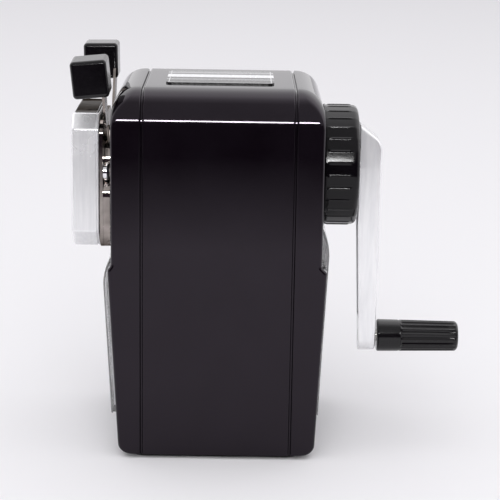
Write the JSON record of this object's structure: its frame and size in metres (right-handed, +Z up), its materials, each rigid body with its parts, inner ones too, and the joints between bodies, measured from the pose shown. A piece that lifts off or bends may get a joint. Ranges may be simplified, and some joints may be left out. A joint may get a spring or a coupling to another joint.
{
  "type": "pencil sharpener",
  "caption": "Hand-cranked desk pencil sharpener: boxy enamelled body, sprung pull-out pencil holder with squeeze levers, chip drawer, lock collar and folded crank with turning grip.",
  "frame": {"origin": "centre of the rubber base pad's underside, which rests on the desk", "axes": "+Z up; the pencil goes in along +Y, so the holder faces -Y and the crank is at +Y; +X is to the right of someone facing the holder"},
  "size_m": [0.064, 0.1293, 0.1307],
  "materials": {
    "black_enamel": "gloss baked enamel",
    "dark_steel": "satin black",
    "base_rubber": "matte",
    "zinc_steel": "bright zinc",
    "spring_steel": "bright wire",
    "hard_steel": "ground",
    "badge_print": "printed plate",
    "clear_plastic": "clear moulded",
    "dark_plastic": "satin",
    "chrome": "bright plated",
    "cast_alloy": "die-cast",
    "bronze_bush": "sintered",
    "gloss_black_plastic": "gloss moulded",
    "collar_plastic": "gloss moulded, ribbed",
    "grip_plastic": "moulded, fluted"
  },
  "bodies": {
    "casing": {"body_wrap": "black_enamel", "front_shell": "black_enamel", "rear_shell": "black_enamel", "base_pan": "dark_steel", "base_pad": "base_rubber", "base_screws": "zinc_steel", "top_badge": "badge_print", "rear_window": "clear_plastic", "pencil_guide_tube": "dark_plastic", "front_plate": "chrome", "guide_spring_left": "spring_steel", "guide_spring_right": "spring_steel", "bearing_housing": "cast_alloy", "rear_bush": "bronze_bush", "ring_gear": "cast_alloy"},
    "drawer": {"chip_drawer": "clear_plastic"},
    "pencil_holder": {"holder_cover": "chrome", "pencil_bezel": "dark_plastic", "clamp_plate": "chrome", "lever_retainer": "zinc_steel", "rod_bridge": "chrome", "guide_rod_left": "zinc_steel", "guide_rod_right": "zinc_steel", "rod_stop_left": "zinc_steel", "rod_stop_right": "zinc_steel", "stop_stud_left": "chrome", "stop_stud_right": "chrome", "jaw_pins": "zinc_steel"},
    "left_lever": {"lever_left": "chrome", "knob_left": "gloss_black_plastic"},
    "right_lever": {"lever_right": "chrome", "knob_right": "gloss_black_plastic"},
    "jaw_a": {"jaw_1": "hard_steel"},
    "jaw_b": {"jaw_2": "hard_steel"},
    "jaw_c": {"jaw_3": "hard_steel"},
    "lock_ring": {"lock_collar": "collar_plastic"},
    "crank": {"cutter_carrier": "cast_alloy", "carrier_shaft": "zinc_steel", "cutter_axle": "hard_steel", "crank_arm": "chrome", "crank_screw": "zinc_steel", "grip_pin": "zinc_steel"},
    "cutter": {"helical_cutter": "hard_steel", "cutter_pinion": "hard_steel"},
    "hand_grip": {"grip": "grip_plastic", "grip_plug": "grip_plastic"}
  },
  "joints": [
    {"name": "drawer_slide", "type": "slide", "parent": "casing", "child": "drawer", "axis": [0, -1, 0], "range_m": [0, 0.06]},
    {"name": "holder_slide", "type": "slide", "parent": "casing", "child": "pencil_holder", "axis": [0, -1, 0], "range_m": [0, 0.032], "stiffness_N_per_m": 80, "springref_m": -0.03, "deforming": ["guide_spring_left", "guide_spring_right"]},
    {"name": "left_lever_swing", "type": "hinge", "parent": "pencil_holder", "child": "left_lever", "pos_m": [0, -0.036, 0.0928], "axis": [0, 1, 0], "range_deg": [0, 14], "stiffness_Nm_per_rad": 0.05, "springref_deg": -11.46},
    {"name": "right_lever_swing", "type": "hinge", "parent": "pencil_holder", "child": "right_lever", "pos_m": [0, -0.0369, 0.0928], "axis": [0, 1, 0], "range_deg": [-14.1, 0]},
    {"name": "jaw_a_swing", "type": "hinge", "parent": "pencil_holder", "child": "jaw_a", "pos_m": [0.011, -0.03945, 0.0928], "axis": [0, 1, 0], "range_deg": [0, 20.1]},
    {"name": "jaw_b_swing", "type": "hinge", "parent": "pencil_holder", "child": "jaw_b", "pos_m": [-0.0055, -0.03945, 0.10233], "axis": [0, 1, 0], "range_deg": [0, 20.1]},
    {"name": "jaw_c_swing", "type": "hinge", "parent": "pencil_holder", "child": "jaw_c", "pos_m": [-0.0055, -0.03945, 0.08327], "axis": [0, 1, 0], "range_deg": [0, 20.1]},
    {"name": "collar_turn", "type": "hinge", "parent": "casing", "child": "lock_ring", "pos_m": [0, 0.04, 0.0928], "axis": [0, 1, 0], "range_deg": [0, 45]},
    {"name": "crank_spin", "type": "hinge", "parent": "casing", "child": "crank", "pos_m": [0, 0.038, 0.0928], "axis": [0, 1, 0], "continuous": true},
    {"name": "cutter_spin", "type": "hinge", "parent": "crank", "child": "cutter", "pos_m": [0, 0.0235, 0.1], "axis": [0, 0.9863, -0.165], "continuous": true},
    {"name": "grip_spin", "type": "hinge", "parent": "crank", "child": "hand_grip", "pos_m": [0, 0.068, 0.0335], "axis": [0, 1, 0], "continuous": true}
  ],
  "couplings": [
    {"joint": "right_lever_swing", "follows": "left_lever_swing", "ratio": -1},
    {"joint": "jaw_a_swing", "follows": "left_lever_swing", "ratio": 1.43},
    {"joint": "jaw_b_swing", "follows": "left_lever_swing", "ratio": 1.43},
    {"joint": "jaw_c_swing", "follows": "left_lever_swing", "ratio": 1.43},
    {"joint": "cutter_spin", "follows": "crank_spin", "ratio": -2.5}
  ]
}
